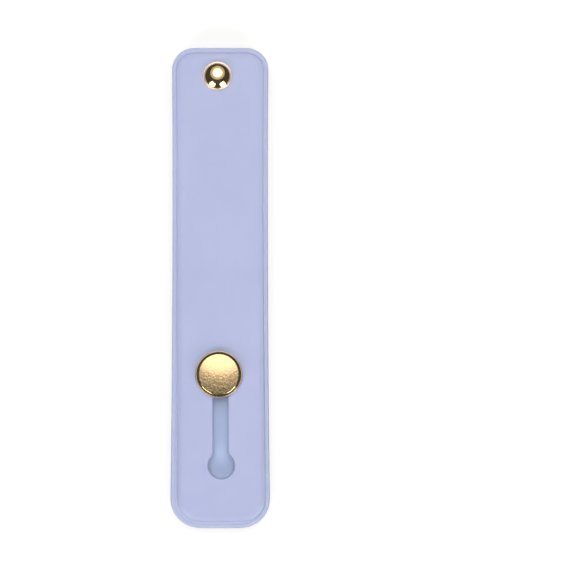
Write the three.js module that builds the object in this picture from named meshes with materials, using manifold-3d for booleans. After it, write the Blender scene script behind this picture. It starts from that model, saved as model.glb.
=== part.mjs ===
// Push-pull phone finger strap: a moulded silicone band that is held at one end by a domed stud
// and slides at the other end, by its keyhole slot, on the barrel of a flat button.
// Both ends stand on a base plate with thick adhesive tape and a release liner.
// Units are millimetres. +X is across the band, +Y is towards the domed stud and +Z is up.
// The origin is under the middle of the band, on the surface that the liners rest on.
import * as THREE from "three";
import { mergeVertices } from "three/addons/utils/BufferGeometryUtils.js";
import Module from "manifold-3d";

const wasm = await Module();
wasm.setup();

// Band outline: narrowest at the waist, from where each side swells towards both ends.
const bandLength = 95;
const waistWidth = 18.84;
const waistFromTop = 25.5;
const topSwell = 0.11;
const bottomSwell = 0.43;
const topCornerRadius = 4.3;
const bottomCornerRadius = 5.7;

// Band section: a thin flange all round a thicker panel with a rounded edge.
const bandThickness = 2.2;
const flangeThickness = 1.3;
const flangeEdgeRound = 0.25;
const panelEdgeRound = 0.6;
const panelEdgeWidth = 0.85;
const leftRim = 0.9;
const rightRim = 0.95;
const topRim = 1.1;
const bottomRim = 1.45;
const panelRightSwell = 0.6;

// Keyhole slot
const slotWidth = 3;
const slotX = 0.1;
const slotLength = 17.9;
const keyholeDiameter = 5.4;
const keyholeX = 0.25;
const keyholeFromBottom = 12.6;

// Stack below the band
const linerThickness = 0.12;
const tapeThickness = 0.8;
const plateThickness = 1.2;

// Base plates, tape and liners
const plateSideInset = 1.12;
const plateEndInset = 1.3;
const plateTopRadius = 3.2;
const plateBottomRadius = 4.4;
const plateInnerRadius = 2.4;
const plateEdgeRound = 0.25;
const anchorPlateLength = 21;
const sliderPlateNose = 6.2;
const tapeInset = 0.6;
const linerInset = 0.3;
const tabWidth = 8;
const tabLength = 3;
const tabRoot = 4;
const tabCornerRadius = 2;

// Domed stud
const studX = -0.5;
const studFromTop = 5.7;
const studBrimDiameter = 5.65;
const studBrimHeight = 0.28;
const studDomeDiameter = 4.9;
const studDomeHeight = 1.3;

// Flat button
const buttonBrimDiameter = 9.3;
const buttonBrimHeight = 0.3;
const buttonDiameter = 8.75;
const buttonWallHeight = 0.45;
const buttonEdgeRound = 0.55;
const buttonCrown = 0.25;

// Barrels, screws and running clearances
const barrelDiameter = 2.2;
const barrelHoleClearance = 0.1;
const slotClearance = 0.08;
const threadDiameter = 1.2;
const threadClearance = 0.12;
const threadLength = 2.1;
const boreSpare = 0.3;
const screwHeadDiameter = 5.4;
const screwHeadHeight = 0.55;
const screwHeadClearance = 0.15;
const screwSlotWidth = 0.8;
const screwSlotDepth = 0.25;
const clampGap = 0.1;
const slideGap = 0.1;

// Fineness of the round shapes
const turnSegments = 48;
const cornerSegments = 12;
const edgeSteps = 3;
const shoulderSteps = 4;
const crownSteps = 6;
const domeSteps = 9;
const mergeDistance = 1e-4;
const straightness = 1e-5;

// How far a cutting shape runs past the solid that it cuts
const cutMargin = 1;

// Heights worked out from the stack
const plateBottom = linerThickness + tapeThickness;
const bandBottom = plateBottom + plateThickness;
const bandTop = bandBottom + bandThickness;
const sliderPlateThickness = plateThickness - slideGap;
const screwSeat = plateBottom + screwHeadHeight;
const barrelBottom = screwSeat + clampGap;

// Places along the band and across it, worked out from its ends and sides
const halfLength = bandLength / 2;
const waistY = halfLength - waistFromTop;
const studY = halfLength - studFromTop;
const keyholeY = keyholeFromBottom - halfLength;
const slotTopY = keyholeY + slotLength;
const plateWidth = waistWidth - 2 * plateSideInset;
const barrelHoleDiameter = barrelDiameter + 2 * barrelHoleClearance;

// The button's barrel lies against the left side of the slot.
const buttonX = slotX - slotWidth / 2 + barrelDiameter / 2 + slotClearance;

const silicone = new THREE.MeshStandardMaterial({ color: 0xbac0e0, roughness: 0.55, metalness: 0 });
const tintedPlastic = new THREE.MeshStandardMaterial({ color: 0xb4bcdf, roughness: 0.45, metalness: 0 });
const goldPlate = new THREE.MeshStandardMaterial({ color: 0xf0d9a4, roughness: 0.18, metalness: 1 });
const adhesive = new THREE.MeshStandardMaterial({ color: 0xe9e9ea, roughness: 0.8, metalness: 0 });
const linerFilm = new THREE.MeshStandardMaterial({ color: 0xf4efe2, roughness: 0.35, metalness: 0 });

// A closed three.js geometry as a solid that can be cut and joined.
function solidOf(geometry) {
  const bare = geometry.clone();
  bare.deleteAttribute("normal");
  bare.deleteAttribute("uv");
  const merged = mergeVertices(bare, mergeDistance);
  const mesh = new wasm.Mesh({
    numProp: 3,
    vertProperties: merged.attributes.position.array,
    triVerts: new Uint32Array(merged.index.array),
  });
  return new wasm.Manifold(mesh);
}

function geometryOf(solid) {
  const mesh = solid.getMesh();
  const geometry = new THREE.BufferGeometry();
  geometry.setAttribute("position", new THREE.BufferAttribute(mesh.vertProperties, 3));
  geometry.setIndex(new THREE.BufferAttribute(mesh.triVerts, 1));
  geometry.computeVertexNormals();
  return geometry;
}

// A band-shaped outline: straight ends, round corners, and sides that swell away from the waist.
function swellingOutline({ left, right, bottom, top, topSwell, leftSwell, rightSwell, ...corners }) {
  const { topRadius, bottomRadius } = corners;
  const topSideY = top - topRadius;
  const bottomSideY = bottom + bottomRadius;
  const topControlY = (waistY + topSideY) / 2;
  const bottomControlY = (waistY + bottomSideY) / 2;
  const leftTop = left - topSwell + topRadius;
  const rightTop = right + topSwell - topRadius;
  const leftBottom = left - leftSwell + bottomRadius;
  const rightBottom = right + rightSwell - bottomRadius;
  const outline = new THREE.Shape();
  outline.moveTo(left, waistY);
  outline.quadraticCurveTo(left, bottomControlY, left - leftSwell, bottomSideY);
  outline.absarc(leftBottom, bottomSideY, bottomRadius, Math.PI, 1.5 * Math.PI, false);
  outline.absarc(rightBottom, bottomSideY, bottomRadius, 1.5 * Math.PI, 2 * Math.PI, false);
  outline.quadraticCurveTo(right, bottomControlY, right, waistY);
  outline.quadraticCurveTo(right, topControlY, right + topSwell, topSideY);
  outline.absarc(rightTop, topSideY, topRadius, 0, 0.5 * Math.PI, false);
  outline.absarc(leftTop, topSideY, topRadius, 0.5 * Math.PI, Math.PI, false);
  outline.quadraticCurveTo(left, topControlY, left, waistY);
  return outline;
}

// A rectangle with its own corner radius at each end.
function padOutline(width, bottom, top, bottomRadius, topRadius) {
  const half = width / 2;
  const outline = new THREE.Shape();
  outline.moveTo(-half, top - topRadius);
  outline.lineTo(-half, bottom + bottomRadius);
  outline.absarc(bottomRadius - half, bottom + bottomRadius, bottomRadius, Math.PI, 1.5 * Math.PI, false);
  outline.absarc(half - bottomRadius, bottom + bottomRadius, bottomRadius, 1.5 * Math.PI, 2 * Math.PI, false);
  outline.lineTo(half, top - topRadius);
  outline.absarc(half - topRadius, top - topRadius, topRadius, 0, 0.5 * Math.PI, false);
  outline.absarc(topRadius - half, top - topRadius, topRadius, 0.5 * Math.PI, Math.PI, false);
  return outline;
}

// An outline as a polygon, without doubled points and without points on its straight stretches.
function polygonOf(outline) {
  const points = outline.getPoints(cornerSegments);
  const apart = points.filter((point, i) => point.distanceTo(points.at(i - 1)) > mergeDistance);
  const turning = apart.filter((point, i) => {
    const arriving = point.clone().sub(apart.at(i - 1)).normalize();
    const leaving = apart[(i + 1) % apart.length].clone().sub(point).normalize();
    return Math.abs(arriving.cross(leaving)) > straightness;
  });
  return new THREE.Shape(turning);
}

// A plate from z = bottom to z = top, with both its faces' edges rounded by the given size.
function slab(outline, bottom, top, edgeHeight = 0, edgeWidth = edgeHeight) {
  const geometry = new THREE.ExtrudeGeometry(polygonOf(outline), {
    depth: top - bottom - 2 * edgeHeight,
    bevelEnabled: edgeHeight > 0,
    bevelThickness: edgeHeight,
    bevelSize: edgeWidth,
    bevelOffset: -edgeWidth,
    bevelSegments: edgeSteps,
  });
  return geometry.translate(0, 0, bottom + edgeHeight);
}

// The keyhole: a slot with a round upper end that runs down into a wider round hole.
function keyholeOutline() {
  const half = slotWidth / 2;
  const holeRadius = keyholeDiameter / 2;
  const offset = slotX - keyholeX;
  const leftMouth = Math.acos((offset - half) / holeRadius);
  const rightMouth = Math.acos((offset + half) / holeRadius);
  const outline = new THREE.Shape();
  outline.moveTo(slotX + half, slotTopY);
  outline.absarc(slotX, slotTopY, half, 0, Math.PI, false);
  outline.absarc(keyholeX, keyholeY, holeRadius, leftMouth, 2 * Math.PI + rightMouth, false);
  outline.closePath();
  return outline;
}

// An upright cylinder between two heights, for holes.
function drill(x, y, diameter, bottom, top) {
  const radius = diameter / 2;
  const geometry = new THREE.CylinderGeometry(radius, radius, top - bottom, turnSegments);
  geometry.rotateX(Math.PI / 2);
  return solidOf(geometry.translate(x, y, (bottom + top) / 2));
}

// A turned piece about the Z axis, from [radius, height] points that start and end on the axis.
function turned(profile) {
  const points = profile.map(([radius, height]) => new THREE.Vector2(radius, height));
  return new THREE.LatheGeometry(points, turnSegments).rotateX(Math.PI / 2);
}

// Points of a round from (r0, z0) to (r1, z1), which leaves upright and arrives level.
function quarterRound(r0, z0, r1, z1, steps) {
  const points = [];
  for (let i = 1; i <= steps; i += 1) {
    const angle = (i / steps) * 0.5 * Math.PI;
    points.push([r1 + (r0 - r1) * Math.cos(angle), z0 + (z1 - z0) * Math.sin(angle)]);
  }
  return points;
}

// Points of a shallow spherical cap from the radius of its rim to the axis.
function cap(rimRadius, rimZ, height, steps) {
  const sphereRadius = (rimRadius ** 2 + height ** 2) / (2 * height);
  const points = [];
  for (let i = 1; i <= steps; i += 1) {
    const radius = rimRadius * (1 - i / steps);
    const drop = sphereRadius - Math.sqrt(sphereRadius ** 2 - radius ** 2);
    points.push([radius, rimZ + height - drop]);
  }
  return points;
}

function band() {
  const flange = slab(
    swellingOutline({
      left: -waistWidth / 2,
      right: waistWidth / 2,
      bottom: -halfLength,
      top: halfLength,
      topSwell,
      leftSwell: bottomSwell,
      rightSwell: bottomSwell,
      topRadius: topCornerRadius,
      bottomRadius: bottomCornerRadius,
    }),
    bandBottom,
    bandBottom + flangeThickness,
    flangeEdgeRound,
  );
  const panel = slab(
    swellingOutline({
      left: leftRim - waistWidth / 2,
      right: waistWidth / 2 - rightRim,
      bottom: bottomRim - halfLength,
      top: halfLength - topRim,
      topSwell: 0,
      leftSwell: 0,
      rightSwell: panelRightSwell,
      topRadius: topCornerRadius - topRim,
      bottomRadius: bottomCornerRadius - bottomRim,
    }),
    bandTop - 2 * panelEdgeRound,
    bandTop,
    panelEdgeRound,
    panelEdgeWidth,
  );
  const through = [bandBottom - cutMargin, bandTop + cutMargin];
  const keyhole = slab(keyholeOutline(), ...through);
  return solidOf(flange)
    .add(solidOf(panel))
    .subtract(solidOf(keyhole))
    .subtract(drill(studX, studY, barrelHoleDiameter, ...through));
}

// A base plate: its outline, a hole for the barrel and a counterbore below for the screw head.
function basePlate(outline, x, y, thickness) {
  const top = plateBottom + thickness;
  const counterbore = screwHeadDiameter + 2 * screwHeadClearance;
  return solidOf(slab(outline, plateBottom, top, plateEdgeRound))
    .subtract(drill(x, y, barrelHoleDiameter, plateBottom - cutMargin, top + cutMargin))
    .subtract(drill(x, y, counterbore, plateBottom - cutMargin, screwSeat));
}

// The blind threaded barrel below a head, from the axis inside the bore out to the head's underside.
function barrelProfile(headBottom) {
  const boreRadius = threadDiameter / 2 + threadClearance;
  const boreTop = screwSeat + threadLength + boreSpare;
  return [
    [0, boreTop],
    [boreRadius, boreTop],
    [boreRadius, barrelBottom],
    [barrelDiameter / 2, barrelBottom],
    [barrelDiameter / 2, headBottom],
  ];
}

function domedStud() {
  const brimRadius = studBrimDiameter / 2;
  const brimTop = bandTop + studBrimHeight;
  const domeRadius = studDomeDiameter / 2;
  return turned([
    ...barrelProfile(bandTop),
    [brimRadius, bandTop],
    [brimRadius, bandTop + studBrimHeight / 2],
    [(brimRadius + domeRadius) / 2, brimTop],
    [domeRadius, brimTop],
    ...cap(domeRadius, brimTop, studDomeHeight, domeSteps),
  ]);
}

function flatButton() {
  const headBottom = bandTop + slideGap;
  const brimRadius = buttonBrimDiameter / 2;
  const brimTop = headBottom + buttonBrimHeight;
  const wallRadius = buttonDiameter / 2;
  const wallTop = brimTop + buttonWallHeight;
  const faceRadius = wallRadius - buttonEdgeRound;
  const faceRim = wallTop + buttonEdgeRound;
  return turned([
    ...barrelProfile(headBottom),
    [brimRadius, headBottom],
    [brimRadius, headBottom + buttonBrimHeight / 2],
    [(brimRadius + wallRadius) / 2, brimTop],
    [wallRadius, brimTop],
    [wallRadius, wallTop],
    ...quarterRound(wallRadius, wallTop, faceRadius, faceRim, shoulderSteps),
    ...cap(faceRadius, faceRim, buttonCrown, crownSteps),
  ]);
}

// A low flat-headed screw that comes up from below, with a screwdriver slot across its head.
function backScrew() {
  const threadRadius = threadDiameter / 2;
  const headRadius = screwHeadDiameter / 2;
  const body = turned([
    [0, plateBottom],
    [headRadius, plateBottom],
    [headRadius, screwSeat],
    [threadRadius, screwSeat],
    [threadRadius, screwSeat + threadLength],
    [0, screwSeat + threadLength],
  ]);
  const slot = new THREE.BoxGeometry(screwHeadDiameter + cutMargin, screwSlotWidth, 2 * screwSlotDepth);
  return solidOf(body).subtract(solidOf(slot.translate(0, 0, plateBottom)));
}

// A pad's outline and those of the tape and liner below it. The tab points to the band's middle.
function pad(bottom, top, bottomRadius, topRadius, tabEnd) {
  const inner = (inset) =>
    padOutline(
      plateWidth - 2 * inset,
      bottom + inset,
      top - inset,
      bottomRadius - inset,
      topRadius - inset,
    );
  const [tabBottom, tabTop] =
    tabEnd === "top" ? [top - tabRoot, top + tabLength] : [bottom - tabLength, bottom + tabRoot];
  const tab = padOutline(tabWidth, tabBottom, tabTop, tabCornerRadius, tabCornerRadius);
  return {
    plate: inner(0),
    tape: slab(inner(tapeInset), linerThickness, plateBottom),
    liner: solidOf(slab(inner(linerInset), 0, linerThickness)).add(solidOf(slab(tab, 0, linerThickness))),
  };
}

const strap = new THREE.Group();

function addPiece(name, geometry, material, x = 0, y = 0) {
  const mesh = new THREE.Mesh(geometry, material);
  mesh.name = name;
  mesh.position.set(x, y, 0);
  strap.add(mesh);
}

const anchorTop = halfLength - plateEndInset;
const anchorPad = pad(anchorTop - anchorPlateLength, anchorTop, plateInnerRadius, plateTopRadius, "bottom");
const sliderBottom = plateEndInset - halfLength;
const sliderTop = slotTopY + sliderPlateNose;
const sliderPad = pad(sliderBottom, sliderTop, plateBottomRadius, plateInnerRadius, "top");

// The band and everything that stays with its fixed end
addPiece("silicone_band", geometryOf(band()), silicone);
addPiece("domed_stud", domedStud(), goldPlate, studX, studY);
addPiece("stud_screw", geometryOf(backScrew()), goldPlate, studX, studY);
const anchorPlate = basePlate(anchorPad.plate, studX, studY, plateThickness);
addPiece("anchor_plate", geometryOf(anchorPlate), tintedPlastic);
addPiece("anchor_tape", anchorPad.tape, adhesive);
addPiece("anchor_liner", geometryOf(anchorPad.liner), linerFilm);

// The slider, with its button at the upper end of the slot
addPiece("flat_button", flatButton(), goldPlate, buttonX, slotTopY);
addPiece("button_screw", geometryOf(backScrew()), goldPlate, buttonX, slotTopY);
const sliderPlate = basePlate(sliderPad.plate, buttonX, slotTopY, sliderPlateThickness);
addPiece("slider_plate", geometryOf(sliderPlate), tintedPlastic);
addPiece("slider_tape", sliderPad.tape, adhesive);
addPiece("slider_liner", geometryOf(sliderPad.liner), linerFilm);

export default strap;
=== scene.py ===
# Push-pull finger strap seen from straight above: lavender silicone band, gold stud and gold slide button
import math

import bmesh
import bpy
import numpy as np
from mathutils import Matrix, Vector, noise


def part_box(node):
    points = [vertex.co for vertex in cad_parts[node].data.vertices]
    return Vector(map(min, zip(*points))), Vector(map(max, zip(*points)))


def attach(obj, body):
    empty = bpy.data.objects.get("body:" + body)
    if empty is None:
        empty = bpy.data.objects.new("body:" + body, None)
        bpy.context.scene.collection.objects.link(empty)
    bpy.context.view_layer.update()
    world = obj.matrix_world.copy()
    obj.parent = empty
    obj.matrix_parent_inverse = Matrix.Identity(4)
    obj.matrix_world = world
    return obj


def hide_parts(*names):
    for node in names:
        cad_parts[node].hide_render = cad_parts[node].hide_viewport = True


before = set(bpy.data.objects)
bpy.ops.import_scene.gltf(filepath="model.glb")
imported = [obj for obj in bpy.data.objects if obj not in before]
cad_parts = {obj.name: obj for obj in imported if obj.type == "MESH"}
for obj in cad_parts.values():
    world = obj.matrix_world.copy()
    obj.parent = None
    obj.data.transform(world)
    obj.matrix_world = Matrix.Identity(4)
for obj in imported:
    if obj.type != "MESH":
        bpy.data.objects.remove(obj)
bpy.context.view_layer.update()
mm = 0.001
print("stage: frame loaded")


# small helpers: heights and centres of the frame's own parts, in millimetres
def partBox(node):
    low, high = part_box(node)
    return low / mm, high / mm


def partCentre(node):
    low, high = partBox(node)
    return (low + high) / 2


bandLow, bandHigh = partBox("silicone_band")


# a pen that leaves a chain of edges: lines are extruded points, arcs are spun points
def penStart(bm, x, y, z):
    return bm.verts.new(Vector((x, y, z)) * mm)


def penLine(bm, point, x, y, z, steps=1):
    start = point.co.copy()
    end = Vector((x, y, z)) * mm
    for step in range(1, steps + 1):
        point = bmesh.ops.extrude_vert_indiv(bm, verts=[point])["verts"][0]
        point.co = start.lerp(end, step / steps)
    return point


def penArc(bm, point, centre, axis, degrees, steps):
    spun = bmesh.ops.spin(
        bm, geom=[point], cent=Vector(centre) * mm, axis=axis, angle=math.radians(degrees), steps=steps
    )
    return spun["geom_last"][0]


def closeLoop(bm, before):
    drawn = [v for v in bm.verts if v not in before]
    bmesh.ops.remove_doubles(bm, verts=drawn, dist=0.001 * mm)
    drawn = {v for v in bm.verts if v not in before}
    return [e for e in bm.edges if all(v in drawn for v in e.verts)]


def finishMesh(bm, name, material, body, replaced, levels=0):
    bmesh.ops.remove_doubles(bm, verts=bm.verts, dist=0.0005 * mm)
    bmesh.ops.recalc_face_normals(bm, faces=bm.faces)
    mesh = bpy.data.meshes.new(name)
    bm.to_mesh(mesh)
    bm.free()
    mesh.shade_smooth()
    piece = bpy.data.objects.new(name, mesh)
    bpy.context.scene.collection.objects.link(piece)
    mesh.materials.append(material)
    if levels:
        smooth = piece.modifiers.new("smooth", "SUBSURF")
        smooth.levels = levels
        smooth.render_levels = levels
    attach(piece, body)
    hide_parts(replaced)
    print("stage:", name, len(mesh.polygons), "faces")
    return piece


# material helpers: every pattern sits on object coordinates, measured in millimetres
def newMaterial(name, settings):
    material = bpy.data.materials.new(name)
    material.use_nodes = True
    shader = material.node_tree.nodes["Principled BSDF"]
    for socket, value in settings.items():
        shader.inputs[socket].default_value = value
    return material, material.node_tree, shader


def objectMillimetres(tree, stretch=(1, 1, 1)):
    place = tree.nodes.new("ShaderNodeTexCoord")
    scale = tree.nodes.new("ShaderNodeMapping")
    scale.inputs["Scale"].default_value = [s / mm for s in stretch]
    tree.links.new(place.outputs["Object"], scale.inputs["Vector"])
    return scale.outputs["Vector"]


def noiseValue(tree, where, perMillimetre, detail=3, roughness=0.55):
    grain = tree.nodes.new("ShaderNodeTexNoise")
    grain.inputs["Scale"].default_value = perMillimetre
    grain.inputs["Detail"].default_value = detail
    grain.inputs["Roughness"].default_value = roughness
    tree.links.new(where, grain.inputs["Vector"])
    return grain.outputs["Fac"]


def mixColours(tree, factor, dark, light, low=0.3, high=0.7):
    ramp = tree.nodes.new("ShaderNodeValToRGB")
    ramp.color_ramp.elements[0].position = low
    ramp.color_ramp.elements[0].color = (*dark, 1)
    ramp.color_ramp.elements[1].position = high
    ramp.color_ramp.elements[1].color = (*light, 1)
    tree.links.new(factor, ramp.inputs["Fac"])
    return ramp.outputs["Color"]


def rangeOf(tree, value, fromLow, fromHigh, toLow, toHigh, curve="LINEAR"):
    spread = tree.nodes.new("ShaderNodeMapRange")
    spread.interpolation_type = curve
    spread.inputs["From Min"].default_value = fromLow
    spread.inputs["From Max"].default_value = fromHigh
    spread.inputs["To Min"].default_value = toLow
    spread.inputs["To Max"].default_value = toHigh
    tree.links.new(value, spread.inputs["Value"])
    return spread.outputs["Result"]


def blend(tree, factor, low, high, kind):
    mix = tree.nodes.new("ShaderNodeMix")
    mix.data_type = kind
    first, second, result = (6, 7, 2) if kind == "RGBA" else (2, 3, 0)
    tree.links.new(factor, mix.inputs[0])
    for socket, value in ((mix.inputs[first], low), (mix.inputs[second], high)):
        if isinstance(value, bpy.types.NodeSocket):
            tree.links.new(value, socket)
        else:
            socket.default_value = value
    return mix.outputs[result]


def bumpOf(tree, height, depthMm, strength=1.0, under=None):
    bump = tree.nodes.new("ShaderNodeBump")
    bump.inputs["Distance"].default_value = depthMm * mm
    tree.links.new(height, bump.inputs["Height"])
    if isinstance(strength, (int, float)):
        bump.inputs["Strength"].default_value = strength
    else:
        tree.links.new(strength, bump.inputs["Strength"])
    if under is not None:
        tree.links.new(under, bump.inputs["Normal"])
    return bump.outputs["Normal"]


siliconeLook = {
    "darkTone": (0.406, 0.452, 0.706),
    "lightTone": (0.432, 0.475, 0.724),
    "cloudsPerMm": 0.11,
    "grainPerMm": 9.0,
    "grainDepth": 0.006,
    "unevenPerMm": 0.35,
    "unevenDepth": 0.03,
    "dimpleDepth": 0.1,
    "dimpleRing": (2.6, 4.8),
    "roughness": (0.42, 0.54),
    # painted light: a lighter, greener tone for the thin flange, slot walls and underside
    "paintedRimLightTone": (0.44, 0.495, 0.715),
    "paintedRimLightDepth": (0.55, 0.12),
}


def siliconeMaterial():
    look = siliconeLook
    material, tree, shader = newMaterial(
        "lavenderSilicone",
        {
            "IOR": 1.41,
            "Specular IOR Level": 0.9,
            "Subsurface Weight": 0.35,
            "Subsurface Radius": (0.55, 0.6, 0.95),
            "Subsurface Scale": 0.5 * mm,
        },
    )
    where = objectMillimetres(tree)
    clouds = noiseValue(tree, where, look["cloudsPerMm"], 2)
    colour = mixColours(tree, clouds, look["darkTone"], look["lightTone"])
    split = tree.nodes.new("ShaderNodeSeparateXYZ")
    tree.links.new(where, split.inputs["Vector"])
    # painted light: everything below the panel's top takes a lighter, greener tone that stands in for
    # light showing through the thin silicone and the brighter lit rim
    thin, thick = (bandHigh.z - depth for depth in look["paintedRimLightDepth"])
    paintedRimLightShare = rangeOf(tree, split.outputs["Z"], thin, thick, 1, 0)
    colour = blend(tree, paintedRimLightShare, colour, (*look["paintedRimLightTone"], 1), "RGBA")
    tree.links.new(colour, shader.inputs["Base Color"])
    grain = noiseValue(tree, where, look["grainPerMm"], 2)
    tree.links.new(rangeOf(tree, grain, 0.3, 0.7, *look["roughness"]), shader.inputs["Roughness"])
    waves = noiseValue(tree, where, look["unevenPerMm"], 1)
    uneven = bumpOf(tree, waves, look["unevenDepth"], 0.5)
    fromStud = tree.nodes.new("ShaderNodeVectorMath")
    fromStud.operation = "DISTANCE"
    fromStud.inputs[1].default_value = (*partCentre("domed_stud").xy, bandHigh.z)
    tree.links.new(where, fromStud.inputs[0])
    dimple = rangeOf(tree, fromStud.outputs["Value"], *look["dimpleRing"], 0, 1, "SMOOTHSTEP")
    uneven = bumpOf(tree, dimple, look["dimpleDepth"], 1.0, uneven)
    tree.links.new(bumpOf(tree, grain, look["grainDepth"], 0.6, uneven), shader.inputs["Normal"])
    return material


goldLook = {
    "deep": (0.9, 0.62, 0.29),
    "pale": (1.0, 0.76, 0.4),
    "roughness": (0.09, 0.15),
    "tonePerMm": 0.9,
    # painted reflection: pinkish brim tone stands in for the lavender band reflected in the gold
    "brimPaintedReflection": (0.93, 0.72, 0.55),
    "brimRoughness": 0.42,
}
pittedLook = {
    "deep": (0.52, 0.37, 0.18),
    "pale": (0.58, 0.42, 0.225),
    "roughness": (0.2, 0.28),
    "peelPerMm": 2.3,
    "peelDepth": 0.08,
    "peelStrength": (0.12, 0.85),
    "peelFade": 2.2,
    "peelBelow": 0.9,
    # painted reflection: darker pinkish brim tone stands in for the lavender band reflected in the gold
    "brimPaintedReflection": (0.5, 0.385, 0.33),
    "coat": {"Coat Weight": 0.5, "Coat IOR": 1.6, "Coat Roughness": 0.12},
}


def goldMaterial(name, brimTop, faceRim=None):
    # polished plating with a satin brim whose pinkish tone is a painted reflection of the lavender
    # silicone and, above the face rim if there is one, a pitted face
    material, tree, shader = newMaterial(name, {"Metallic": 1.0, "IOR": 1.5})
    where = objectMillimetres(tree)
    split = tree.nodes.new("ShaderNodeSeparateXYZ")
    tree.links.new(where, split.inputs["Vector"])
    height = split.outputs["Z"]
    tone = noiseValue(tree, where, goldLook["tonePerMm"], 3)
    colour = mixColours(tree, tone, goldLook["deep"], goldLook["pale"], 0.1, 0.6)
    rough = rangeOf(tree, tone, 0.3, 0.7, *goldLook["roughness"])
    # painted reflection: the brim's pinkish tone stands in for the lavender silicone reflected in the
    # gold; its satin roughness is real
    onBrimSatinAndPaintedReflection = rangeOf(tree, height, brimTop, brimTop + 0.02, 1, 0)
    brimPaintedReflection = pittedLook["brimPaintedReflection"] if faceRim else goldLook["brimPaintedReflection"]
    colour = blend(tree, onBrimSatinAndPaintedReflection, colour, (*brimPaintedReflection, 1), "RGBA")
    rough = blend(tree, onBrimSatinAndPaintedReflection, rough, goldLook["brimRoughness"], "FLOAT")
    if faceRim:
        onFace = rangeOf(tree, height, faceRim - 0.04, faceRim + 0.01, 0, 1)
        peel = noiseValue(tree, where, pittedLook["peelPerMm"], 1.5, 0.6)
        pits = mixColours(tree, peel, pittedLook["deep"], pittedLook["pale"], 0.35, 0.55)
        colour = blend(tree, onFace, colour, pits, "RGBA")
        faceRough = rangeOf(tree, peel, 0.35, 0.6, *pittedLook["roughness"])
        rough = blend(tree, onFace, rough, faceRough, "FLOAT")
        # the upper half of the face is worn smooth
        middle, fade = partCentre("flat_button").y - pittedLook["peelBelow"], pittedLook["peelFade"]
        worn = rangeOf(tree, split.outputs["Y"], middle + fade, middle - fade, *pittedLook["peelStrength"])
        strength = blend(tree, onFace, 0.0, worn, "FLOAT")
        tree.links.new(bumpOf(tree, peel, pittedLook["peelDepth"], strength), shader.inputs["Normal"])
        for socket, value in pittedLook["coat"].items():
            shader.inputs[socket].default_value = value
    tree.links.new(colour, shader.inputs["Base Color"])
    tree.links.new(rough, shader.inputs["Roughness"])
    return material


plasticLook = {
    "cloudsPerMm": 0.2,
    "darkTone": (0.385, 0.475, 0.715),
    "lightTone": (0.415, 0.505, 0.745),
    "sparkPerMm": 5.0,
    "sparkDepth": 0.01,
    "roughness": (0.34, 0.46),
}


def plasticMaterial():
    look = plasticLook
    material, tree, shader = newMaterial(
        "lavenderPlastic",
        {
            "IOR": 1.5,
            "Specular IOR Level": 0.7,
            "Coat Weight": 0.6,
            "Coat IOR": 1.6,
            "Coat Roughness": 0.35,
            "Subsurface Weight": 0.4,
            "Subsurface Radius": (0.2, 0.25, 1.1),
            "Subsurface Scale": 1.0 * mm,
        },
    )
    where = objectMillimetres(tree)
    clouds = noiseValue(tree, where, look["cloudsPerMm"], 2)
    colour = mixColours(tree, clouds, look["darkTone"], look["lightTone"])
    tree.links.new(colour, shader.inputs["Base Color"])
    spark = noiseValue(tree, where, look["sparkPerMm"], 3)
    tree.links.new(rangeOf(tree, spark, 0.3, 0.7, *look["roughness"]), shader.inputs["Roughness"])
    tree.links.new(bumpOf(tree, spark, look["sparkDepth"], 0.5), shader.inputs["Normal"])
    return material


tapeLook = {"dark": (0.6, 0.6, 0.62), "light": (0.84, 0.84, 0.85), "cellsPerMm": 5.5, "cellDepth": 0.04}


def tapeMaterial():
    material, tree, shader = newMaterial("adhesiveTape", {"Roughness": 0.7, "IOR": 1.47})
    where = objectMillimetres(tree)
    cells = tree.nodes.new("ShaderNodeTexVoronoi")
    cells.inputs["Scale"].default_value = tapeLook["cellsPerMm"]
    tree.links.new(where, cells.inputs["Vector"])
    distance = cells.outputs["Distance"]
    tone = mixColours(tree, distance, tapeLook["dark"], tapeLook["light"], 0.05, 0.4)
    tree.links.new(tone, shader.inputs["Base Color"])
    tree.links.new(bumpOf(tree, distance, tapeLook["cellDepth"], 0.7), shader.inputs["Normal"])
    return material


linerLook = {
    "dark": (0.8, 0.75, 0.63),
    "light": (0.9, 0.86, 0.77),
    "fibresPerMm": 1.4,
    "fibreStretch": (1, 0.22, 1),
    "fibreDepth": 0.012,
    "roughness": (0.28, 0.42),
}


def linerMaterial():
    material, tree, shader = newMaterial("releaseLiner", {"IOR": 1.45, "Specular IOR Level": 0.5})
    where = objectMillimetres(tree, linerLook["fibreStretch"])
    fibres = noiseValue(tree, where, linerLook["fibresPerMm"], 5, 0.65)
    colour = mixColours(tree, fibres, linerLook["dark"], linerLook["light"])
    tree.links.new(colour, shader.inputs["Base Color"])
    tree.links.new(rangeOf(tree, fibres, 0.3, 0.7, *linerLook["roughness"]), shader.inputs["Roughness"])
    tree.links.new(bumpOf(tree, fibres, linerLook["fibreDepth"], 0.5), shader.inputs["Normal"])
    return material


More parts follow.
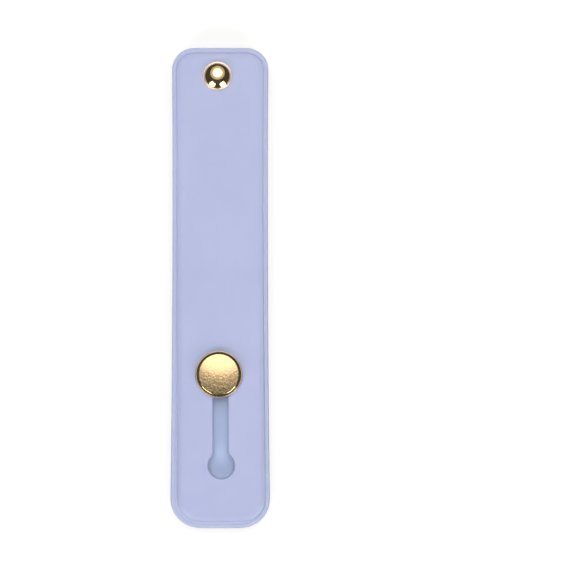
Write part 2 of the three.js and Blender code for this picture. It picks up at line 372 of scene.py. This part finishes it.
# silicone band: flange, groove and pillowed panel, with a keyhole slot and the stud's hole
bandShape = {
    "waist": 18.84,
    "waistY": 22.0,
    "topSwell": 0.11,
    "bottomSwell": 0.43,
    "panelRightSwell": 0.6,
    "topCorner": 4.3,
    "bottomCorner": 5.7,
    "flangeHeight": 1.7,
    "sideDraft": 0.12,
    "edgeRound": 0.2,
    "beadRound": 0.16,
    "rim": 0.86,
    "lineAcross": 0.07,
    "shelfAcross": 0.1,
    "shelfRise": 0.02,
    "grooveFloor": 0.04,
    "topRimMore": 0.2,
    "bottomRimMore": 0.5,
    "grooveDepth": 0.22,
    "wallAcross": 0.1,
    "wallRise": 0.3,
    "pillowAcross": 1.2,
    "pillowBorder": 0.25,
    "baseBorder": 0.5,
    "scoreDepth": 0.07,
    "scoreFrom": (4, 8),
    "settleAbove": 1.2,
    "stepShare": ([-38, 5, 34, 44], [1.1, 0.6, 0.42, 0.5]),
    "sideSteps": 22,
    "endSteps": 6,
    "cornerSteps": 9,
    "wobble": 0.035,
    "wobblePerMm": 0.35,
}
slotShape = {
    "width": 2.94,
    "x": 0.1,
    "length": 18.03,
    "holeDiameter": 5.24,
    "holeX": 0.25,
    "holeFromBottom": 12.52,
    "lipAcross": 0.2,
    "lipDrop": 0.24,
    "lipSteps": 3,
    "bottomLip": 0.15,
    "supportRing": 0.4,
}
studDimple = {"reach": 2.98, "depth": 0.08, "hole": 1.2, "rings": 5}
holeY = bandLow.y + slotShape["holeFromBottom"]
slotTopY = holeY + slotShape["length"]


def swellOf(y):
    # share of the swell at a place along the band, on the bottom side and on the top side of the waist
    bottomSide = bandLow.y + bandShape["bottomCorner"]
    topSide = bandHigh.y - bandShape["topCorner"]
    below = min(max((bandShape["waistY"] - y) / (bandShape["waistY"] - bottomSide), 0), 1)
    above = min(max((y - bandShape["waistY"]) / (topSide - bandShape["waistY"]), 0), 1)
    return below**2, above**2


def drawBandOutline(bm, z):
    half = bandShape["waist"] / 2
    low, high = bandLow.y, bandHigh.y
    r, q = bandShape["bottomCorner"], bandShape["topCorner"]
    before = set(bm.verts)
    pen = penStart(bm, -half, high - q, z)
    pen = penLine(bm, pen, -half, low + r, z, bandShape["sideSteps"])
    pen = penArc(bm, pen, (r - half, low + r, z), (0, 0, 1), 90, bandShape["cornerSteps"])
    pen = penLine(bm, pen, half - r, low, z, bandShape["endSteps"])
    pen = penArc(bm, pen, (half - r, low + r, z), (0, 0, 1), 90, bandShape["cornerSteps"])
    pen = penLine(bm, pen, half, high - q, z, bandShape["sideSteps"])
    pen = penArc(bm, pen, (half - q, high - q, z), (0, 0, 1), 90, bandShape["cornerSteps"])
    pen = penLine(bm, pen, q - half, high, z, bandShape["endSteps"])
    penArc(bm, pen, (q - half, high - q, z), (0, 0, 1), 90, bandShape["cornerSteps"])
    edges = closeLoop(bm, before)
    for vert in {v for e in edges for v in e.verts}:
        below, above = swellOf(vert.co.y / mm)
        vert.co.x *= 1 + (below * bandShape["bottomSwell"] + above * bandShape["topSwell"]) / half
    return edges


def stepIn(bm, face, inset, rise):
    bmesh.ops.inset_region(
        bm, faces=[face], thickness=inset * mm, depth=rise * mm, use_boundary=True, use_even_offset=True
    )


def roundIn(bm, face, across, rise, steps):
    # a quarter round that leaves upright and arrives level
    for step in range(steps):
        start, end = (math.pi / 2 * k / steps for k in (step, step + 1))
        inward, upward = math.cos(start) - math.cos(end), math.sin(end) - math.sin(start)
        stepIn(bm, face, across * inward, rise * upward)


def dipIn(bm, face, across, drop, steps):
    # the other half of a bead: leaves level and falls away
    for step in range(steps):
        start, end = (math.pi / 2 * k / steps for k in (step, step + 1))
        inward, downward = math.sin(end) - math.sin(start), math.cos(start) - math.cos(end)
        stepIn(bm, face, across * inward, -drop * downward)


def pillowIn(bm, face, across, rise, steps):
    # leaves the groove at a slope and eases off to level
    for step in range(steps):
        start, end = (math.pi / 2 * k / steps for k in (step, step + 1))
        stepIn(bm, face, across / steps, rise * (math.sin(end) - math.sin(start)))


def scoreRightSide(face, drop):
    # the mould left a second fine line on the right side of the flange
    for vert in face.verts:
        vert.co.z -= drop * float(np.interp(vert.co.x / mm, bandShape["scoreFrom"], [0, 1])) * mm


def settleStep(bm):
    # the step down to the flange is lower in the upper half of the band
    for vert in bm.verts:
        _, y, z = vert.co / mm
        if z > bandLow.z + bandShape["settleAbove"]:
            share = float(np.interp(y, *bandShape["stepShare"]))
            vert.co.z = (bandHigh.z - (bandHigh.z - z) * share) * mm


def shiftPanelEdge(face):
    # the panel isn't centred in the flange: straight on the left, wider towards the bottom right
    halfPanel = bandShape["waist"] / 2 - bandShape["rim"]
    for vert in face.verts:
        x, y, _ = vert.co / mm
        below, _ = swellOf(y)
        leftMove = bandShape["bottomSwell"] * below
        rightMove = (bandShape["panelRightSwell"] - bandShape["bottomSwell"]) * below
        x += np.interp(x, [-halfPanel, halfPanel], [leftMove, rightMove])
        y += np.interp(y, [bandLow.y + 1, bandLow.y + 6.5], [bandShape["bottomRimMore"], 0])
        y -= np.interp(y, [bandHigh.y - 5, bandHigh.y - 1], [0, bandShape["topRimMore"]])
        wobble = noise.noise_vector(vert.co / mm * bandShape["wobblePerMm"]) * bandShape["wobble"]
        vert.co.x = (x + wobble.x) * mm
        vert.co.y = (y + wobble.y) * mm


def keyholeRing(bm, grow, z):
    half = slotShape["width"] / 2 + grow
    radius = slotShape["holeDiameter"] / 2 + grow
    offset = slotShape["x"] - slotShape["holeX"]
    leftMouth = math.acos((offset - half) / radius)
    rightMouth = math.acos((offset + half) / radius)
    turn = math.degrees(2 * math.pi + rightMouth - leftMouth)
    before = set(bm.verts)
    pen = penStart(bm, slotShape["x"] + half, slotTopY, z)
    pen = penArc(bm, pen, (slotShape["x"], slotTopY, z), (0, 0, 1), 180, 14)
    pen = penLine(bm, pen, slotShape["x"] - half, holeY + radius * math.sin(leftMouth), z, 9)
    pen = penArc(bm, pen, (slotShape["holeX"], holeY, z), (0, 0, 1), turn, 26)
    penLine(bm, pen, slotShape["x"] + half, slotTopY, z, 9)
    return closeLoop(bm, before)


def circleRing(bm, centre, radius, z, segments=48):
    before = set(bm.edges)
    place = Matrix.Translation(Vector((centre.x, centre.y, z)) * mm)
    bmesh.ops.create_circle(bm, cap_ends=False, segments=segments, radius=radius * mm, matrix=place)
    return [e for e in bm.edges if e not in before]


def bridgeChain(bm, rings):
    for outer, inner in zip(rings, rings[1:]):
        bmesh.ops.bridge_loops(bm, edges=list(outer) + list(inner))


def openFace(bm, face, holes):
    # fills the flat face again from its own border to the borders of the holes
    border = list(face.edges)
    bmesh.ops.delete(bm, geom=[face], context="FACES_ONLY")
    for hole in holes:
        border += hole
    bmesh.ops.triangle_fill(bm, use_beauty=True, edges=border)


def makeBand(material):
    bottom, top = bandLow.z, bandHigh.z
    flangeTop = bottom + bandShape["flangeHeight"]
    edge = bandShape["edgeRound"]
    bm = bmesh.new()
    outline = drawBandOutline(bm, bottom + edge)
    base = bmesh.ops.contextual_create(bm, geom=outline)["faces"][0]
    if base.normal.z > 0:
        base.normal_flip()
    raised = bmesh.ops.extrude_face_region(bm, geom=[base], use_keep_orig=True)["geom"]
    roof = next(g for g in raised if isinstance(g, bmesh.types.BMFace))
    lift, draft = 0.05, bandShape["sideDraft"]
    bmesh.ops.translate(bm, verts=roof.verts, vec=(0, 0, lift * mm))
    bmesh.ops.recalc_face_normals(bm, faces=bm.faces)
    stepIn(bm, roof, draft, flangeTop - bottom - 2 * edge - lift)
    roundIn(bm, base, edge, edge, 4)
    stepIn(bm, base, bandShape["baseBorder"], 0)
    # flange: round edge, shelf, the mould's fine line and the rest of the shelf
    shelf, line, rise = (bandShape[k] for k in ("shelfAcross", "lineAcross", "shelfRise"))
    bead = bandShape["beadRound"]
    roundIn(bm, roof, edge, edge, 4)
    stepIn(bm, roof, shelf, rise)
    stepIn(bm, roof, line, 0)
    scoreRightSide(roof, bandShape["scoreDepth"])
    stepIn(bm, roof, line, 0)
    scoreRightSide(roof, -bandShape["scoreDepth"])
    stepIn(bm, roof, bandShape["rim"] - draft - edge - bead - shelf - 2 * line, rise)
    # groove, then the wall and the crowned edge of the panel
    dipIn(bm, roof, bead, bandShape["grooveDepth"], 3)
    shiftPanelEdge(roof)
    stepIn(bm, roof, bandShape["grooveFloor"], 0)
    stepIn(bm, roof, bandShape["wallAcross"], bandShape["wallRise"])
    pillowIn(bm, roof, bandShape["pillowAcross"], top - roof.calc_center_median().z / mm, 7)
    stepIn(bm, roof, bandShape["pillowBorder"], 0)
    settleStep(bm)
    lip, drop, under = (slotShape[k] for k in ("lipAcross", "lipDrop", "bottomLip"))
    slotRings = [keyholeRing(bm, lip + slotShape["supportRing"], top)]
    for step in range(slotShape["lipSteps"] + 1):
        share = step / slotShape["lipSteps"]
        slotRings.append(keyholeRing(bm, lip * (1 - share), top - drop * share))
    slotRings.append(keyholeRing(bm, 0, bottom + under))
    slotRings.append(keyholeRing(bm, under * 0.3, bottom + under * 0.3))
    slotRings.append(keyholeRing(bm, under, bottom))
    bridgeChain(bm, slotRings)
    stud = partCentre("domed_stud")
    studRings = []
    for step in range(studDimple["rings"]):
        share = 1 - step / (studDimple["rings"] - 1)
        radius = studDimple["hole"] + (studDimple["reach"] - studDimple["hole"]) * share
        sink = studDimple["depth"] * (1 - (3 - 2 * share) * share * share)
        studRings.append(circleRing(bm, stud, radius, top - sink))
    studRings.append(circleRing(bm, stud, studDimple["hole"], bottom))
    bridgeChain(bm, studRings)
    openFace(bm, roof, [slotRings[0], studRings[0]])
    openFace(bm, base, [slotRings[-1], studRings[-1]])
    return finishMesh(bm, "bandSilicone", material, "band", "silicone_band", 2)


# gold heads: a profile drawn in the XZ plane and spun about the head's own axis
def spinHead(name, node, moves, material, body, steps=96):
    centre = partCentre(node)
    bm = bmesh.new()
    pen = penStart(bm, *moves[0])
    for kind, *values in moves[1:]:
        if kind == "line":
            pen = penLine(bm, pen, values[0], 0, *values[1:])
        else:
            pen = penArc(bm, pen, (values[0], 0, values[1]), (0, 1, 0), values[2], values[3])
    profile = bm.verts[:] + bm.edges[:]
    bmesh.ops.spin(
        bm, geom=profile, cent=(0, 0, 0), axis=(0, 0, 1), angle=2 * math.pi, steps=steps, use_merge=True
    )
    bmesh.ops.translate(bm, verts=bm.verts, vec=(centre.x * mm, centre.y * mm, 0))
    return finishMesh(bm, name, material, body, node)


studShape = {
    "brim": 2.83,
    "brimHeight": 0.26,
    "dome": 2.47,
    "slope": 42.5,
    "barrel": 1.1,
    "edgeRound": 0.08,
    "sunkShare": 0.8,
}


def makeStud(material):
    low, high = partBox("domed_stud")
    brimBottom = bandHigh.z - studDimple["depth"] * studShape["sunkShare"]
    brimTop = bandHigh.z + studShape["brimHeight"]
    opening = studShape["slope"]
    ball = studShape["dome"] / math.sin(math.radians(opening))
    domeBase = high.z - ball * (1 - math.cos(math.radians(opening)))
    brim, edge = studShape["brim"], studShape["edgeRound"]
    moves = [
        (0, 0, low.z),
        ("line", studShape["barrel"], low.z),
        ("line", studShape["barrel"], brimBottom),
        ("line", brim - edge, brimBottom),
        ("arc", brim - edge, brimBottom + edge, -90, 4),
        ("line", brim, brimTop - edge),
        ("arc", brim - edge, brimTop - edge, -90, 4),
        ("line", studShape["dome"], brimTop),
        ("line", studShape["dome"], domeBase),
        ("arc", 0, high.z - ball, -opening, 28),
    ]
    return spinHead("studGold", "domed_stud", moves, material, "band")


buttonShape = {
    "brim": 4.65,
    "brimHeight": 0.28,
    "wall": 4.5,
    "face": 3.94,
    "crown": 0.32,
    "barrel": 1.1,
    "edgeRound": 0.09,
    "chamfer": 38,
    "crease": 0.04,
    "gapBelow": 0.1,
}


def makeButton(material):
    low, high = partBox("flat_button")
    brimBottom = bandHigh.z + buttonShape["gapBelow"]
    brimTop = brimBottom + buttonShape["brimHeight"]
    faceRim = high.z - buttonShape["crown"]
    brim, wall, face, edge = (buttonShape[k] for k in ("brim", "wall", "face", "edgeRound"))
    crease = buttonShape["crease"]
    wallTop = faceRim - (wall - face) * math.tan(math.radians(buttonShape["chamfer"]))
    ball = (face**2 + buttonShape["crown"] ** 2) / (2 * buttonShape["crown"])
    opening = math.degrees(math.asin(face / ball))
    moves = [
        (0, 0, low.z),
        ("line", buttonShape["barrel"], low.z),
        ("line", buttonShape["barrel"], brimBottom),
        ("line", brim - edge, brimBottom),
        ("arc", brim - edge, brimBottom + edge, -90, 4),
        ("line", brim, brimTop - edge),
        ("arc", brim - edge, brimTop - edge, -90, 4),
        ("line", wall, brimTop),
        ("line", wall, wallTop - 2 * crease),
        ("line", wall, wallTop - crease),
        ("line", wall - crease, wallTop + crease / 2),
        ("line", face + crease, faceRim - crease / 2, 8),
        ("line", face, faceRim),
        ("arc", 0, high.z - ball, -opening, 24),
    ]
    return spinHead("buttonGold", "flat_button", moves, material, "slider", 128)


# floor, lights and camera
studio = {
    "floorSize": 8.0,
    "floorDrop": 0.02,
    "floorColour": 0.45,
    "floorGlow": 0.62,
    "roomColour": (0.05, 0.05, 0.06),
    "backdropTop": 0.045,
    "backdropFade": 0.03,
    "overheadTilt": 24.5,
    "coreDistance": 0.8,
    "coreSize": 0.82,
    "corePower": 3.75,
    "haloDistance": 0.82,
    "haloSize": 1.56,
    "haloPower": 3.1,
    "lowDistance": 0.7,
    "lowSize": 0.34,
    "lowPower": 2.1,
    "lowElevation": 30,
    "lowSpread": 36,
    "lampTint": (1.0, 0.985, 0.93),
}


def seenDirectly(tree):
    # 1 for the camera, and for what metal and clear surfaces show
    path = tree.nodes.new("ShaderNodeLightPath")
    seen = path.outputs["Is Camera Ray"]
    for ray in ("Is Glossy Ray", "Is Transmission Ray"):
        either = tree.nodes.new("ShaderNodeMath")
        either.operation = "MAXIMUM"
        tree.links.new(seen, either.inputs[0])
        tree.links.new(path.outputs[ray], either.inputs[1])
        seen = either.outputs[0]
    return seen


def makeFloor():
    bm = bmesh.new()
    bmesh.ops.create_grid(bm, x_segments=1, y_segments=1, size=studio["floorSize"] / 2)
    bmesh.ops.translate(bm, verts=bm.verts, vec=(0, 0, -studio["floorDrop"] * mm))
    mesh = bpy.data.meshes.new("paperFloor")
    bm.to_mesh(mesh)
    bm.free()
    floor = bpy.data.objects.new("paperFloor", mesh)
    bpy.context.scene.collection.objects.link(floor)
    grey = studio["floorColour"]
    paper = {"Base Color": (grey, grey, grey, 1), "Roughness": 0.9}
    material, tree, shader = newMaterial("paleFloor", paper)
    shader.inputs["Specular IOR Level"].default_value = 0.1
    shader.inputs["Emission Color"].default_value = (1, 1, 1, 1)
    glow = rangeOf(tree, seenDirectly(tree), 0, 1, 0, studio["floorGlow"])
    tree.links.new(glow, shader.inputs["Emission Strength"])
    mesh.materials.append(material)


def makeWorld():
    # a dim room above a white backdrop that stands a little higher than the horizon
    world = bpy.data.worlds.new("studioRoom")
    bpy.context.scene.world = world
    world.use_nodes = True
    tree = world.node_tree
    room = tree.nodes["Background"]
    room.inputs["Color"].default_value = (*studio["roomColour"], 1)
    white = tree.nodes.new("ShaderNodeBackground")
    white.inputs["Color"].default_value = (1, 1, 1, 1)
    direction = tree.nodes.new("ShaderNodeTexCoord")
    split = tree.nodes.new("ShaderNodeSeparateXYZ")
    tree.links.new(direction.outputs["Generated"], split.inputs["Vector"])
    edge, fade = studio["backdropTop"], studio["backdropFade"]
    low = rangeOf(tree, split.outputs["Z"], edge, edge + fade, 1, 0)
    backdrop = tree.nodes.new("ShaderNodeMath")
    backdrop.operation = "MULTIPLY"
    tree.links.new(low, backdrop.inputs[0])
    tree.links.new(seenDirectly(tree), backdrop.inputs[1])
    choose = tree.nodes.new("ShaderNodeMixShader")
    tree.links.new(backdrop.outputs[0], choose.inputs["Fac"])
    tree.links.new(room.outputs[0], choose.inputs[1])
    tree.links.new(white.outputs[0], choose.inputs[2])
    tree.links.new(choose.outputs[0], tree.nodes["World Output"].inputs["Surface"])


def areaLight(name, shape, azimuth, elevation, distance, size, power):
    # azimuth counts from +X, and the light looks at the middle of the strap
    light = bpy.data.lights.new(name, "AREA")
    light.shape = shape
    light.size = size
    light.energy = power
    light.color = studio["lampTint"]
    lamp = bpy.data.objects.new(name, light)
    turn, lift = math.radians(azimuth), math.radians(elevation)
    away = Vector((math.cos(turn) * math.cos(lift), math.sin(turn) * math.cos(lift), math.sin(lift)))
    lamp.location = away * distance
    lamp.rotation_euler = away.to_track_quat("Z", "Y").to_euler()
    lamp.visible_camera = False
    bpy.context.scene.collection.objects.link(lamp)


def makeLights():
    overhead = 90 - studio["overheadTilt"]
    core = (studio["coreDistance"], studio["coreSize"], studio["corePower"])
    areaLight("softboxCore", "DISK", 90, overhead, *core)
    halo = (studio["haloDistance"], studio["haloSize"], studio["haloPower"])
    areaLight("softboxHalo", "DISK", 90, overhead, *halo)
    low = (studio["lowElevation"], studio["lowDistance"], studio["lowSize"], studio["lowPower"])
    areaLight("lowLeft", "SQUARE", 270 - studio["lowSpread"], *low)
    areaLight("lowRight", "SQUARE", 270 + studio["lowSpread"], *low)


cameraView = {
    "lens": 200.0,
    "sensor": 36.0,
    "frameWidth": 113.74,
    "centreX": 13.41,
    "centreY": 0.02,
    "planeZ": 3.4,
}


def makeCamera():
    data = bpy.data.cameras.new("topCamera")
    data.lens = cameraView["lens"]
    data.sensor_width = cameraView["sensor"]
    data.clip_end = 50
    distance = cameraView["frameWidth"] * cameraView["lens"] / cameraView["sensor"]
    camera = bpy.data.objects.new("topCamera", data)
    place = (cameraView["centreX"], cameraView["centreY"], cameraView["planeZ"] + distance)
    camera.location = Vector(place) * mm
    bpy.context.scene.collection.objects.link(camera)
    bpy.context.scene.camera = camera


def dressNodes(finishes):
    for node, material in finishes.items():
        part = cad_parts[node]
        part.data.materials.clear()
        part.data.materials.append(material)


makeCamera()
makeWorld()
makeFloor()
makeLights()
print("stage: studio ready")

polishedGold = goldMaterial("polishedGold", bandHigh.z + studShape["brimHeight"])
faceRim = partBox("flat_button")[1].z - buttonShape["crown"]
brimTop = bandHigh.z + buttonShape["gapBelow"] + buttonShape["brimHeight"]
pittedGold = goldMaterial("pittedGold", brimTop, faceRim)
makeBand(siliconeMaterial())
makeStud(polishedGold)
makeButton(pittedGold)
plastic = plasticMaterial()
tape = tapeMaterial()
liner = linerMaterial()
dressNodes(
    {
        "stud_screw": polishedGold,
        "button_screw": polishedGold,
        "anchor_plate": plastic,
        "slider_plate": plastic,
        "anchor_tape": tape,
        "slider_tape": tape,
        "anchor_liner": liner,
        "slider_liner": liner,
    }
)
print("stage: materials on the frame's parts")

view = bpy.context.scene.view_settings
view.view_transform = "Standard"
